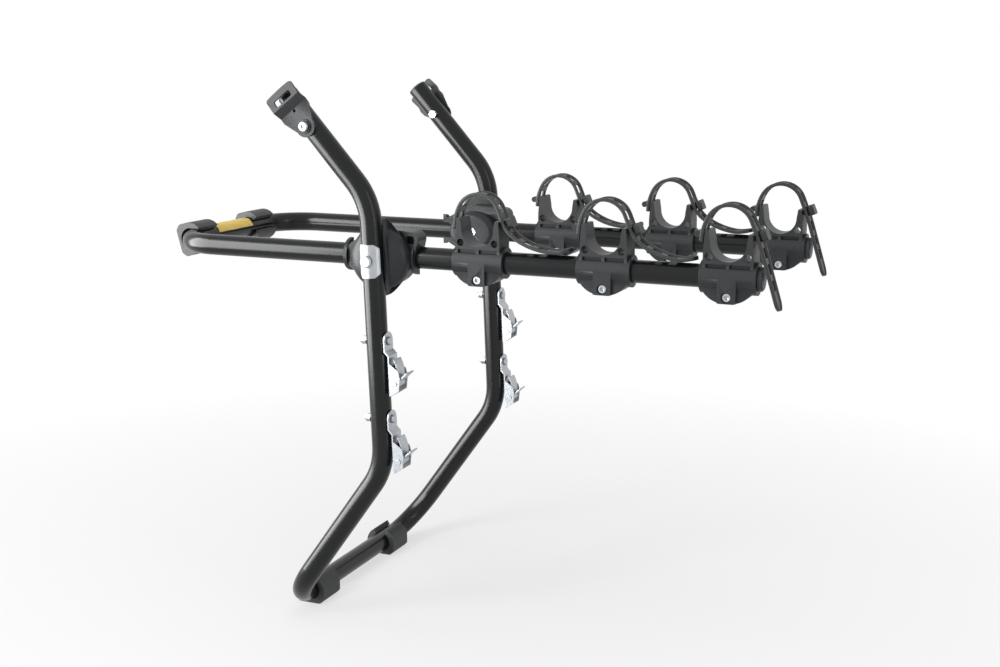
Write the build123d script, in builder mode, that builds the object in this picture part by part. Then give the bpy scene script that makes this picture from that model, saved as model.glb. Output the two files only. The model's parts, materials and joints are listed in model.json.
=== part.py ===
"""Strap-on rear carrier for three bicycles: two bent tube frames joined at a pair of hubs.

The frame stands as it does behind a vehicle. +X points away from the vehicle, +Z is up, and
"left" is the -Y side. The origin lies midway between the lower foot pads, on the plane of
their flat faces. Lengths are millimetres and angles are degrees.
"""

from math import atan2, cos, degrees, hypot, radians, sin
import os

from build123d import *

os.makedirs("parts", exist_ok=True)

# Tube stock and bends
tube_diameter = 28.6
tube_wall = 1.6
foot_corner_bend = 68.0
knee_bend = 88.0
arm_corner_bend = 66.0

# Upright frame, along the tube's centre line
leg_spacing = 375.0
foot_to_knee_reach = 154.0
foot_to_knee_rise = 215.0
knee_to_knee_rise = 354.0
knee_to_knee_setback = 14.0
top_run = 174.0
top_angle = 48.3

# Arm frame, along the tube's centre line
arm_inset = 44.5
pivot_rise = 277.0
arm_reach = 491.8
arm_setback = 341.0

# Clearances
slip_fit = 0.15
soft_gap = 0.3
turning_gap = 0.3
teeth_gap = 0.4

# Rubber pads on the two crossbars
pad_length = 47.0
pad_sole_width = 33.0
pad_width = 47.0
pad_sole = 5.2
pad_sole_edge = 6.5
pad_arm_drop = 1.0
pad_arm_reach = 150.0
pad_round = 2.0
foot_pad_past_bend = 12.0
rest_pad_past_bend_left = 28.0
rest_pad_past_bend_right = 15.0
rest_pad_tilt = 15.0

# Marker band round the arm frame's crossbar
band_thickness = 0.4
band_wrap = 150.0
band_margin_left = 7.0
band_margin_right = 8.0

# Hub cups, fixed to the legs
hub_radius = 42.0
hub_rim = 2.5
cup_depth = 21.5
cup_crown_radius = 20.0
saddle_half_width = 20.0
saddle_tip_half_width = 13.0
saddle_shoulder = 24.0
saddle_rise = 54.0
saddle_drop = 50.0
saddle_depth = 23.0

# Face teeth between cup and housing
tooth_height = 1.4
tooth_width = 2.4
tooth_length = 11.0
tooth_count = 36
tooth_ring = 33.0

# Hub housings and caps, clamped round the arms
hub_plate = 3.0
shell_radius = 38.0
shell_front_length = 45.0
shell_back_length = 57.0
shell_nose_radius = 21.0
shell_lobe_distance = 40.0
shell_lobe_rise = 24.5
shell_lobe_radius = 10.5
collar_radius = 22.0
collar_width = 5.0
collar_lead = 1.2
shell_parting = 0.3
lobe_pocket_width = 11.0
lobe_pocket_height = 10.5
lobe_pocket_round = 2.0
lobe_pocket_depth = 10.0
cap_skirt = 9.0
cap_cover = 11.0
cap_half_length = 37.5
cap_half_height = 30.0
cap_round = 9.0

# Hub fasteners
hub_bolt_diameter = 8.0
hub_head_diameter = 16.2
hub_head_height = 5.0
hub_head_round = 2.6
hub_nut_flats = 13.0
hub_nut_height = 6.5
hub_nut_recess = 7.5
hub_nut_clearance = 0.8
saddle_washer_wall = 2.0
saddle_washer_height = 43.0
saddle_washer_wrap = 124.0
saddle_washer_clip = 5.5

# Strap brackets on the tops of the legs
bracket_hole_from_end = 50.0
bracket_sheet = 3.0
bracket_tab_radius = 14.0
bracket_half_width = 23.0
bracket_shoulder = 20.0
bracket_step = 8.0
bracket_step_start = 28.5
bracket_step_end = 38.5
bracket_top = 56.0
bracket_crown = 1.0
bracket_corner = 4.0
bracket_slot_length = 28.0
bracket_slot_width = 8.0
bracket_slot_round = 2.0
bracket_slot_position = 44.0
bracket_small_hole = 4.0
bracket_small_hole_position = 24.5
bracket_swing_left = 4.0
bracket_swing_right = -8.0
bracket_screw_diameter = 8.0
bracket_head_diameter = 13.4
bracket_head_height = 4.2
bracket_head_socket = 5.0
bracket_washer_diameter = 17.8
bracket_washer_thickness = 1.4
bracket_nut_flats = 11.0
bracket_nut_height = 6.5

# Cam buckles on the legs
buckle_drops = (105.0, 209.0)
buckle_width = 24.0
buckle_sheet = 1.8
cheek_sheet = 1.6
buckle_tab_rise = 12.0
tab_drop = 13.0
joggle_drop = 6.0
joggle_step = 5.4
buckle_drop = 71.0
cheek_top = 27.0
cheek_shoulder_drop = 10.0
cheek_shoulder = 13.8
cheek_depth = 16.0
cheek_waist_drop = 47.0
cheek_foot_drop = 64.0
cheek_foot_depth = 13.7
cam_pin_diameter = 4.0
cam_pin_head = 6.0
cam_pin_head_height = 1.0
cam_pin_out = 8.5
cam_pin_drop = 54.7
cam_radius = 5.0
cam_nose_reach = 5.9
cam_nose_radius = 1.2
cam_nose_angle = 168.0
cam_side_gap = 0.4
thumb_reach = 22.3
thumb_angle = 41.0
thumb_sheet = 2.0
lever_plate_sheet = 1.5
lever_plate_top = 8.0
lever_plate_top_drop = 22.5
lever_plate_bulge = 13.0
lever_plate_bulge_drop = 38.0
spring_wall = 1.0
spring_length = 7.0
spring_room = 0.4
buckle_bolt_diameter = 6.0
buckle_head_diameter = 11.4
buckle_head_height = 3.6
buckle_head_round = 2.0
buckle_washer_diameter = 12.0
buckle_washer_thickness = 1.2
buckle_nut_flats = 10.0
buckle_nut_height = 5.5
buckle_nut_dome = 4.4

# Bicycle cradles, from the arm tube's centre line
cradle_distances = (134.0, 302.0, 457.0)
cradle_depth = 32.0
cradle_barrel_radius = 20.0
cradle_half_length = 34.5
cradle_waist_half_length = 30.5
cradle_waist_height = 16.0
cradle_foot = 29.5
cradle_side_drop = 6.0
cradle_foot_half_length = 8.0
cradle_corner_radius = 32.0
cradle_boss_length = 23.0
cradle_boss_depth = 40.0
cup_radius = 22.0
cup_height = 42.0
horn_half_length = 28.6
horn_opening = 24.3
horn_left_height = 57.0
horn_right_height = 53.5
horn_tip_round = 1.8
horn_hole_diameter = 9.5
horn_hole_spacing = 47.0
horn_hole_height = 25.5
ledge_height = 14.5
ledge_groove = 5.0
ledge_groove_depth = 3.0
ledge_groove_length = 25.0
ledge_rib = 4.0
clamp_slit = 3.0
cradle_screw_drop = 22.0
cradle_screw_diameter = 6.0
cradle_head_diameter = 10.8
cradle_head_height = 3.3
cradle_head_socket = 4.0
cradle_counterbore = 12.4
cradle_counterbore_depth = 5.0
cradle_nut_flats = 10.0
cradle_nut_height = 4.5

# Rubber straps, drawn by their centre line in a cradle's own frame
strap_width = 24.0
strap_thickness = 4.5
strap_window_width = 14.0
strap_window_length = 12.0
strap_start = (-34.0, 41.2)
strap_rise = 7.4
strap_rise_angle = 86.0
strap_lead_radius = 60.0
strap_lead_turn = 22.0
strap_arch_radius = 29.0
strap_arch_turn = 132.0
strap_fall = 16.0
strap_pitch = 20.1
strap_tail_arcs = (
    ((45.0, 37.0), (100.0, 30.0), (43.0, 16.0)),
    ((45.0, 36.5), (100.0, 24.0), (43.0, 18.0)),
    ((300.0, -5.0),),
)
strap_tail_runs = (1.0, 1.0, 57.0)

# Pegs that hold the straps
peg_neck_width = 8.0
peg_neck_height = 6.0
peg_left_from_start = 9.3
peg_left_radius = 4.0
peg_left_length = 17.0
peg_right_past_fall = 4.2
peg_right_length = 17.0
peg_right_height = 14.0
peg_right_depth = 7.0
peg_right_round = 3.0
peg_right_room = 1.6
peg_root = 7.6

# End plugs
plug_fit = 0.2
plug_shank = 18.0
arm_plug_flange = 6.0
arm_plug_lip = 0.5
arm_plug_chamfer = 2.0
leg_plug_flange = 2.5
socket_depth = 2.2

# Sizes and places that follow from the values above
tube_radius = tube_diameter / 2
bore_radius = tube_radius + slip_fit
leg_side = leg_spacing / 2
arm_side = leg_side - arm_inset
pad_room = tube_radius + soft_gap
foot_z = pad_sole + pad_room
low_knee_z = foot_z + foot_to_knee_rise
high_knee_x = foot_to_knee_reach - knee_to_knee_setback
high_knee_z = low_knee_z + knee_to_knee_rise
leg_lean = degrees(atan2(knee_to_knee_setback, knee_to_knee_rise))
top_x = high_knee_x - top_run * cos(radians(top_angle))
top_z = high_knee_z + top_run * sin(radians(top_angle))
pivot_x = foot_to_knee_reach - pivot_rise * knee_to_knee_setback / knee_to_knee_rise
pivot_z = low_knee_z + pivot_rise
rest_x = pivot_x - arm_setback
arm_end_x = pivot_x + arm_reach
screw_x = top_x + bracket_hole_from_end * cos(radians(top_angle))
screw_z = top_z - bracket_hole_from_end * sin(radians(top_angle))
housing_face = arm_side + tube_radius + hub_plate
cup_face = housing_face + 2 * tooth_height + teeth_gap
cap_face = arm_side - bore_radius - cap_cover
sides = {"left": -1, "right": 1}
stations = (1, 2, 3)
rows = {"upper": buckle_drops[0], "lower": buckle_drops[1]}


def side_view(x, z, y=0.0, tilt=0.0):
    """Plane seen from the left: local X along +X, tipped up by the tilt, local Z towards -Y."""
    along = (cos(radians(tilt)), 0, sin(radians(tilt)))
    return Plane(origin=(x, y, z), x_dir=along, z_dir=(0, -1, 0))


def hub_view(distance):
    """Plane on the left hub's axis, this far out from the middle of the carrier."""
    return side_view(pivot_x, pivot_z, y=-distance)


def leg_point(drop, out=0.0):
    """Place on the straight leg, this far below the pivot and out from the leg's axis."""
    lean = radians(leg_lean)
    x = pivot_x + drop * sin(lean) + out * cos(lean)
    return x, pivot_z - drop * cos(lean) + out * sin(lean)


def leg_side_view(drop, y):
    """Plane across the leg below the pivot: local X out from the leg, local Y up it."""
    x, z = leg_point(drop)
    return side_view(x, z, y=y, tilt=leg_lean)


def leg_front_view(drop, y, out=0.0):
    """Plane square to a buckle bolt: local X along +Y, local Y up the leg, local Z out."""
    x, z = leg_point(drop, out)
    lean = radians(leg_lean)
    return Plane(origin=(x, y, z), x_dir=(0, 1, 0), z_dir=(cos(lean), 0, sin(lean)))


def tube_outline():
    """Ring section of the frame tube."""
    Circle(tube_radius)
    Circle(tube_radius - tube_wall, mode=Mode.SUBTRACT)


# Upright frame: one tube with four knees and two foot corners
with BuildPart() as upright_tube:
    with BuildLine() as upright_path:
        FilletPolyline(
            (top_x, -leg_side, top_z),
            (high_knee_x, -leg_side, high_knee_z),
            (foot_to_knee_reach, -leg_side, low_knee_z),
            (0, -leg_side, foot_z),
            (0, leg_side, foot_z),
            (foot_to_knee_reach, leg_side, low_knee_z),
            (high_knee_x, leg_side, high_knee_z),
            (top_x, leg_side, top_z),
            radius=[knee_bend, knee_bend, foot_corner_bend, foot_corner_bend, knee_bend, knee_bend],
        )
    with BuildSketch(Plane(origin=upright_path.line @ 0, z_dir=upright_path.line % 0)):
        tube_outline()
    sweep()
    with BuildSketch(side_view(pivot_x, pivot_z)):
        Circle(hub_bolt_diameter / 2 + slip_fit)
    extrude(amount=leg_spacing, both=True, mode=Mode.SUBTRACT)
    with BuildSketch(side_view(screw_x, screw_z)):
        Circle(bracket_screw_diameter / 2 + slip_fit)
    extrude(amount=leg_spacing, both=True, mode=Mode.SUBTRACT)
    for side in sides.values():
        for drop in buckle_drops:
            with BuildSketch(leg_front_view(drop, side * leg_side)):
                Circle(buckle_bolt_diameter / 2 + slip_fit)
            extrude(amount=tube_diameter, both=True, mode=Mode.SUBTRACT)
upright_tube.part.label = "upright_tube"
export_step(upright_tube.part, "parts/upright_tube.step")

# Room that the left leg takes up beside the hub, used to cut its channel in the hub cup
with BuildPart() as leg_room:
    with BuildLine() as leg_path:
        FilletPolyline(
            (foot_to_knee_reach, -leg_side, low_knee_z),
            (high_knee_x, -leg_side, high_knee_z),
            (top_x, -leg_side, top_z),
            radius=knee_bend,
        )
    with BuildSketch(Plane(origin=leg_path.line @ 0, z_dir=leg_path.line % 0)):
        Circle(bore_radius)
    sweep()

# Arm frame: one U-shaped tube
with BuildPart() as arm_tube:
    with BuildLine() as arm_path:
        FilletPolyline(
            (arm_end_x, -arm_side, pivot_z),
            (rest_x, -arm_side, pivot_z),
            (rest_x, arm_side, pivot_z),
            (arm_end_x, arm_side, pivot_z),
            radius=arm_corner_bend,
        )
    with BuildSketch(Plane(origin=arm_path.line @ 0, z_dir=arm_path.line % 0)):
        tube_outline()
    sweep()
    with BuildSketch(side_view(pivot_x, pivot_z)):
        Circle(hub_bolt_diameter / 2 + slip_fit)
    extrude(amount=leg_spacing, both=True, mode=Mode.SUBTRACT)
arm_tube.part.label = "arm_tube"
export_step(arm_tube.part, "parts/arm_tube.step")


def pad_outline():
    """Section of a rubber pad, before the tube's room is cut: a flat sole and two round arms."""
    sole = pad_room + pad_sole
    blank = Polygon(
        (-pad_sole_width / 2, -sole),
        (pad_sole_width / 2, -sole),
        (pad_width / 2, pad_sole_edge - sole),
        (pad_width / 2, -pad_arm_drop),
        (-pad_width / 2, -pad_arm_drop),
        (-pad_width / 2, pad_sole_edge - sole),
        align=None,
    )
    fillet(blank.vertices().sort_by(Axis.Y)[:4], radius=pad_round)
    with Locations((0, -pad_arm_drop)):
        Circle(pad_width / 2)
    with Locations((0, -sole)):
        Rectangle(pad_width, pad_width, align=(Align.CENTER, Align.MAX), mode=Mode.SUBTRACT)
    gap = radians(180 - pad_arm_reach)
    Polygon(
        (0, 0),
        (pad_width * sin(gap), pad_width * cos(gap)),
        (-pad_width * sin(gap), pad_width * cos(gap)),
        align=None,
        mode=Mode.SUBTRACT,
    )


def pad_ends(crossbar_end, past_bend):
    """Distances from the middle of a crossbar to the inner and outer ends of its pad."""
    return crossbar_end + past_bend - pad_length, crossbar_end + past_bend


# Room that the two frame tubes take up in the pads
with BuildPart() as lower_bar_room:
    with BuildSketch(Plane(origin=upright_path.line @ 0, z_dir=upright_path.line % 0)):
        Circle(pad_room)
    sweep(path=upright_path.line)

with BuildPart() as rest_bar_room:
    with BuildSketch(Plane(origin=arm_path.line @ 0, z_dir=arm_path.line % 0)):
        Circle(pad_room)
    sweep(path=arm_path.line)

# Foot pads on the lower crossbar, each run a little way past the start of the bend
for name, side in sides.items():
    inner, outer = pad_ends(leg_side - foot_corner_bend, foot_pad_past_bend)
    with BuildPart() as foot_pad:
        with BuildSketch(side_view(0, foot_z, y=side * inner)):
            pad_outline()
        extrude(amount=-side * (outer - inner))
        add(lower_bar_room.part, mode=Mode.SUBTRACT)
    foot_pad.part.label = f"foot_pad_{name}"
    export_step(foot_pad.part, f"parts/foot_pad_{name}.step")

# Rest pads on the arm frame's crossbar, turned towards the vehicle and a little downwards
rest_pad_runs = {"left": rest_pad_past_bend_left, "right": rest_pad_past_bend_right}
for name, side in sides.items():
    inner, outer = pad_ends(arm_side - arm_corner_bend, rest_pad_runs[name])
    with BuildPart() as rest_pad:
        with BuildSketch(side_view(rest_x, pivot_z, y=side * inner, tilt=rest_pad_tilt - 90)):
            pad_outline()
        extrude(amount=-side * (outer - inner))
        add(rest_bar_room.part, mode=Mode.SUBTRACT)
    rest_pad.part.label = f"rest_pad_{name}"
    export_step(rest_pad.part, f"parts/rest_pad_{name}.step")

# Marker band, a film over the top of the crossbar between the rest pads
with BuildPart() as marker_band:
    band_low = band_margin_left - pad_ends(arm_side - arm_corner_bend, rest_pad_past_bend_left)[0]
    band_high = pad_ends(arm_side - arm_corner_bend, rest_pad_past_bend_right)[0] - band_margin_right
    with BuildSketch(side_view(rest_x, pivot_z, y=band_high)):
        Circle(bore_radius + band_thickness)
        Circle(bore_radius, mode=Mode.SUBTRACT)
        with Locations((0, bore_radius * cos(radians(band_wrap / 2)))):
            Rectangle(
                2 * tube_diameter,
                2 * tube_diameter,
                align=(Align.CENTER, Align.MAX),
                mode=Mode.SUBTRACT,
            )
    extrude(amount=band_high - band_low)
marker_band.part.label = "marker_band"
export_step(marker_band.part, "parts/marker_band.step")

# Plugs in the arm ends: a thick cap with a shank inside the tube
with BuildPart() as arm_plugs:
    for side in sides.values():
        end = Plane(origin=(arm_end_x, side * arm_side, pivot_z), z_dir=(1, 0, 0))
        with BuildSketch(end):
            Circle(tube_radius + arm_plug_lip)
        extrude(amount=arm_plug_flange)
        with BuildSketch(end):
            Circle(tube_radius - tube_wall - plug_fit)
        extrude(amount=-plug_shank)
    chamfer(arm_plugs.faces().filter_by(Axis.X).group_by(Axis.X)[-1].edges(), arm_plug_chamfer)
arm_plugs.part.label = "arm_plugs"
export_step(arm_plugs.part, "parts/arm_plugs.step")

# Plugs in the leg tops: a thin cap with a shank inside the tube
with BuildPart() as leg_plugs:
    for side in sides.values():
        uphill = (-cos(radians(top_angle)), 0, sin(radians(top_angle)))
        end = Plane(origin=(top_x, side * leg_side, top_z), z_dir=uphill)
        with BuildSketch(end):
            Circle(tube_radius)
        extrude(amount=leg_plug_flange)
        with BuildSketch(end):
            Circle(tube_radius - tube_wall - plug_fit)
        extrude(amount=-plug_shank)
leg_plugs.part.label = "leg_plugs"
export_step(leg_plugs.part, "parts/leg_plugs.step")

# Hub cup: a toothed plate with a domed back and a saddle that holds the leg
with BuildPart() as hub_cup_left:
    crown = cup_face + cup_depth
    rim = cup_face + hub_rim
    ball = (crown**2 + cup_crown_radius**2 - rim**2 - hub_radius**2) / (2 * (crown - rim))
    ball_radius = hypot(hub_radius, rim - ball)
    middle = (atan2(rim - ball, hub_radius) + atan2(crown - ball, cup_crown_radius)) / 2
    dome_middle = (ball_radius * cos(middle), ball + ball_radius * sin(middle))
    with BuildSketch(Plane(origin=(pivot_x, 0, pivot_z), x_dir=(1, 0, 0), z_dir=(0, 0, -1))):
        with BuildLine():
            Polyline((0, crown), (0, cup_face), (hub_radius, cup_face), (hub_radius, rim))
            ThreePointArc((hub_radius, rim), dome_middle, (cup_crown_radius, crown))
            Line((cup_crown_radius, crown), (0, crown))
        make_face()
    revolve(axis=Axis((pivot_x, 0, pivot_z), (0, 1, 0)))
    with BuildSketch(leg_side_view(0, -rim)):
        with BuildLine():
            Polyline(
                (-saddle_half_width, saddle_shoulder),
                (-saddle_tip_half_width, saddle_rise),
                (saddle_tip_half_width, saddle_rise),
                (saddle_half_width, saddle_shoulder),
                (saddle_half_width, -saddle_shoulder),
                (saddle_tip_half_width, -saddle_drop),
                (-saddle_tip_half_width, -saddle_drop),
                (-saddle_half_width, -saddle_shoulder),
                close=True,
            )
        make_face()
    extrude(amount=saddle_depth - hub_rim)
    with BuildSketch(hub_view(cup_face)):
        with PolarLocations(tooth_ring, tooth_count):
            Rectangle(tooth_length, tooth_width)
    extrude(amount=-tooth_height)
    with BuildSketch(hub_view(cup_face)):
        Circle(hub_bolt_diameter / 2 + slip_fit)
    extrude(amount=leg_spacing, both=True, mode=Mode.SUBTRACT)
    add(leg_room.part, mode=Mode.SUBTRACT)
hub_cup_left.part.label = "hub_cup_left"
export_step(hub_cup_left.part, "parts/hub_cup_left.step")

with BuildPart() as hub_cup_right:
    mirror(hub_cup_left.part, about=Plane.XZ)
hub_cup_right.part.label = "hub_cup_right"
export_step(hub_cup_right.part, "parts/hub_cup_right.step")


def shell_outline():
    """Side outline of the hub shells: a disc round the pivot, drawn out into two round noses."""
    nose_run = collar_lead + shell_nose_radius
    Circle(shell_radius)
    with Locations((nose_run - shell_back_length, 0), (shell_front_length - nose_run, 0)):
        Circle(shell_nose_radius)
    with Locations((shell_lobe_distance, shell_lobe_rise)):
        Circle(shell_lobe_radius)
    make_hull()


# Room that the arm tube and the hub bolt take up in the shells
with BuildPart() as arm_room:
    with BuildSketch(Plane(origin=(pivot_x, -arm_side, pivot_z), z_dir=(1, 0, 0))):
        Circle(bore_radius)
    extrude(amount=arm_reach, both=True)
    with BuildSketch(hub_view(arm_side)):
        Circle(hub_bolt_diameter / 2 + slip_fit)
    extrude(amount=leg_spacing, both=True)

# Hub housing: the outer half of the clamp round the arm, with the mating teeth
with BuildPart() as hub_housing_left:
    with BuildSketch(hub_view(arm_side + shell_parting / 2)):
        shell_outline()
    extrude(amount=housing_face - arm_side - shell_parting / 2)
    for collar_x in (pivot_x - shell_back_length, pivot_x + shell_front_length - collar_width):
        with BuildSketch(Plane(origin=(collar_x, -arm_side, pivot_z), z_dir=(1, 0, 0))):
            Circle(collar_radius)
        extrude(amount=collar_width)
    with BuildSketch(hub_view(arm_side + shell_parting / 2)):
        Rectangle(4 * shell_back_length, 4 * shell_radius)
    extrude(amount=-arm_side, mode=Mode.SUBTRACT)
    with BuildSketch(hub_view(housing_face)):
        with Locations((shell_lobe_distance, shell_lobe_rise)):
            RectangleRounded(lobe_pocket_width, lobe_pocket_height, lobe_pocket_round)
    extrude(amount=-lobe_pocket_depth, mode=Mode.SUBTRACT)
    with BuildSketch(hub_view(housing_face)):
        Circle(hub_radius + teeth_gap)
    extrude(amount=collar_radius, mode=Mode.SUBTRACT)
    with BuildSketch(hub_view(housing_face)):
        with PolarLocations(tooth_ring, tooth_count, start_angle=180 / tooth_count):
            Rectangle(tooth_length, tooth_width)
    extrude(amount=tooth_height)
    add(arm_room.part, mode=Mode.SUBTRACT)
hub_housing_left.part.label = "hub_housing_left"
export_step(hub_housing_left.part, "parts/hub_housing_left.step")

with BuildPart() as hub_housing_right:
    mirror(hub_housing_left.part, about=Plane.XZ)
hub_housing_right.part.label = "hub_housing_right"
export_step(hub_housing_right.part, "parts/hub_housing_right.step")

# Hub cap: the inner half of the clamp, domed, with the nut's pocket
with BuildPart() as hub_cap_left:
    with BuildSketch(hub_view(cap_face)):
        Ellipse(cap_half_length, cap_half_height)
    extrude(amount=arm_side - shell_parting / 2 - cap_face)
    fillet(hub_cap_left.edges().group_by(Axis.Y)[-1], cap_round)
    with BuildSketch(hub_view(arm_side - shell_parting / 2)):
        shell_outline()
    extrude(amount=-cap_skirt)
    add(arm_room.part, mode=Mode.SUBTRACT)
    with BuildSketch(hub_view(cap_face)):
        Circle(hub_nut_flats / 2 / cos(radians(30)) + hub_nut_clearance)
    extrude(amount=hub_nut_recess, mode=Mode.SUBTRACT)
hub_cap_left.part.label = "hub_cap_left"
export_step(hub_cap_left.part, "parts/hub_cap_left.step")

with BuildPart() as hub_cap_right:
    mirror(hub_cap_left.part, about=Plane.XZ)
hub_cap_right.part.label = "hub_cap_right"
export_step(hub_cap_right.part, "parts/hub_cap_right.step")

# Saddle washers: curved plates on the outside of the legs
with BuildPart() as saddle_washers:
    lean = radians(leg_lean)
    half_wrap = saddle_washer_wrap / 2
    washer_outer = bore_radius + saddle_washer_wall
    leg_section = Plane(
        origin=(pivot_x, -leg_side, pivot_z), x_dir=(0, -1, 0), z_dir=(-sin(lean), 0, cos(lean))
    )
    with BuildSketch(leg_section):
        with BuildLine():
            inner_arc = CenterArc((0, 0), bore_radius, -half_wrap, saddle_washer_wrap)
            outer_arc = CenterArc((0, 0), washer_outer, -half_wrap, saddle_washer_wrap)
            Line(inner_arc @ 0, outer_arc @ 0)
            Line(inner_arc @ 1, outer_arc @ 1)
        make_face()
    extrude(amount=saddle_washer_height / 2, both=True)
    with BuildSketch(leg_side_view(0, 0)) as washer_face:
        Rectangle(2 * washer_outer * sin(radians(half_wrap)), saddle_washer_height)
        chamfer(washer_face.vertices(), saddle_washer_clip)
    extrude(amount=leg_spacing, mode=Mode.INTERSECT)
    with BuildSketch(side_view(pivot_x, pivot_z)):
        Circle(hub_bolt_diameter / 2 + slip_fit)
    extrude(amount=leg_spacing, mode=Mode.SUBTRACT)
    mirror(about=Plane.XZ)
saddle_washers.part.label = "saddle_washers"
export_step(saddle_washers.part, "parts/saddle_washers.step")

# Hub bolts, from the saddle washers to the nuts in the hub caps
bolt_seat = leg_side + bore_radius + saddle_washer_wall + slip_fit
nut_seat = cap_face + hub_nut_recess - turning_gap
with BuildPart() as hub_bolts:
    with BuildSketch(hub_view(bolt_seat)):
        Circle(hub_head_diameter / 2)
    extrude(amount=hub_head_height)
    fillet(hub_bolts.edges().group_by(Axis.Y)[0], hub_head_round)
    with BuildSketch(hub_view(bolt_seat)):
        Circle(hub_bolt_diameter / 2)
    extrude(amount=nut_seat - hub_nut_height - bolt_seat)
    mirror(about=Plane.XZ)
hub_bolts.part.label = "hub_bolts"
export_step(hub_bolts.part, "parts/hub_bolts.step")

with BuildPart() as hub_nuts:
    with BuildSketch(hub_view(nut_seat)):
        RegularPolygon(hub_nut_flats / 2, 6, major_radius=False)
        Circle(hub_bolt_diameter / 2 + slip_fit, mode=Mode.SUBTRACT)
    extrude(amount=-hub_nut_height)
    mirror(about=Plane.XZ)
hub_nuts.part.label = "hub_nuts"
export_step(hub_nuts.part, "parts/hub_nuts.step")

# Strap brackets: slotted plates that swing on the leg tops, stepped outwards
bracket_swings = {"left": bracket_swing_left, "right": bracket_swing_right}
bracket_back = leg_side + tube_radius + turning_gap
for name, side in sides.items():
    tilt = 90 - top_angle - bracket_swings[name]
    outward = Plane(
        origin=(screw_x, side * bracket_back, screw_z),
        x_dir=(0, side, 0),
        z_dir=(side * cos(radians(tilt)), 0, side * sin(radians(tilt))),
    )
    with BuildPart() as strap_bracket:
        with BuildSketch(outward):
            with BuildLine():
                Polyline(
                    (0, -bracket_tab_radius),
                    (0, bracket_step_start),
                    (bracket_step, bracket_step_end),
                    (bracket_step, bracket_top + bracket_crown),
                    (bracket_step + bracket_sheet, bracket_top + bracket_crown),
                    (bracket_step + bracket_sheet, bracket_step_end - bracket_sheet / 2),
                    (bracket_sheet, bracket_step_start - bracket_sheet / 2),
                    (bracket_sheet, -bracket_tab_radius),
                    close=True,
                )
            make_face()
        extrude(amount=bracket_half_width, both=True)
        with BuildSketch(side_view(screw_x, screw_z, tilt=tilt)) as plate_face:
            with BuildLine():
                ThreePointArc(
                    (-bracket_tab_radius, 0), (0, -bracket_tab_radius), (bracket_tab_radius, 0)
                )
                Polyline(
                    (bracket_tab_radius, 0),
                    (bracket_half_width, bracket_shoulder),
                    (bracket_half_width, bracket_top),
                )
                ThreePointArc(
                    (bracket_half_width, bracket_top),
                    (0, bracket_top + bracket_crown),
                    (-bracket_half_width, bracket_top),
                )
                Polyline(
                    (-bracket_half_width, bracket_top),
                    (-bracket_half_width, bracket_shoulder),
                    (-bracket_tab_radius, 0),
                )
            make_face()
            fillet(plate_face.vertices().sort_by(Axis.Y)[-2:], bracket_corner)
            Circle(bracket_screw_diameter / 2 + slip_fit, mode=Mode.SUBTRACT)
            with Locations((0, bracket_small_hole_position)):
                Circle(bracket_small_hole / 2, mode=Mode.SUBTRACT)
            with Locations((0, bracket_slot_position)):
                RectangleRounded(
                    bracket_slot_length, bracket_slot_width, bracket_slot_round, mode=Mode.SUBTRACT
                )
        extrude(amount=leg_spacing, both=True, mode=Mode.INTERSECT)
    strap_bracket.part.label = f"strap_bracket_{name}"
    export_step(strap_bracket.part, f"parts/strap_bracket_{name}.step")


def screw_view(distance):
    """Plane on the left bracket screw's axis, this far out from the middle of the carrier."""
    return side_view(screw_x, screw_z, y=-distance)


# Bracket washers, screws and nuts
bracket_washer_seat = bracket_back + bracket_sheet + turning_gap
bracket_head_seat = bracket_washer_seat + bracket_washer_thickness
bracket_nut_seat = leg_side - tube_radius
with BuildPart() as bracket_washers:
    with BuildSketch(screw_view(bracket_washer_seat)):
        Circle(bracket_washer_diameter / 2)
        Circle(bracket_screw_diameter / 2 + slip_fit, mode=Mode.SUBTRACT)
    extrude(amount=bracket_washer_thickness)
    mirror(about=Plane.XZ)
bracket_washers.part.label = "bracket_washers"
export_step(bracket_washers.part, "parts/bracket_washers.step")

with BuildPart() as bracket_screws:
    with BuildSketch(screw_view(bracket_head_seat)):
        Circle(bracket_head_diameter / 2)
    extrude(amount=bracket_head_height)
    fillet(bracket_screws.edges().group_by(Axis.Y)[0], bracket_head_height / 2)
    with BuildSketch(screw_view(bracket_head_seat + bracket_head_height)):
        RegularPolygon(bracket_head_socket / 2, 6, major_radius=False)
    extrude(amount=-socket_depth, mode=Mode.SUBTRACT)
    with BuildSketch(screw_view(bracket_head_seat)):
        Circle(bracket_screw_diameter / 2)
    extrude(amount=bracket_nut_seat - bracket_nut_height - bracket_head_seat)
    mirror(about=Plane.XZ)
bracket_screws.part.label = "bracket_screws"
export_step(bracket_screws.part, "parts/bracket_screws.step")

with BuildPart() as bracket_nuts:
    with BuildSketch(screw_view(bracket_nut_seat)):
        RegularPolygon(bracket_nut_flats / 2, 6, major_radius=False)
        Circle(bracket_screw_diameter / 2 + slip_fit, mode=Mode.SUBTRACT)
    extrude(amount=-bracket_nut_height)
    mirror(about=Plane.XZ)
bracket_nuts.part.label = "bracket_nuts"
export_step(bracket_nuts.part, "parts/bracket_nuts.step")

# Cam buckles: a sheet frame on each bolt, a sprung lever on its pin
tab_out = tube_radius + turning_gap
web_out = tab_out + joggle_step
web_face = web_out + buckle_sheet
pin_out = web_out + cam_pin_out
cheek_inner = buckle_width / 2 - cheek_sheet
lever_half_width = cheek_inner - cam_side_gap
spring_outer = cam_pin_diameter / 2 + slip_fit + spring_wall


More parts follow.
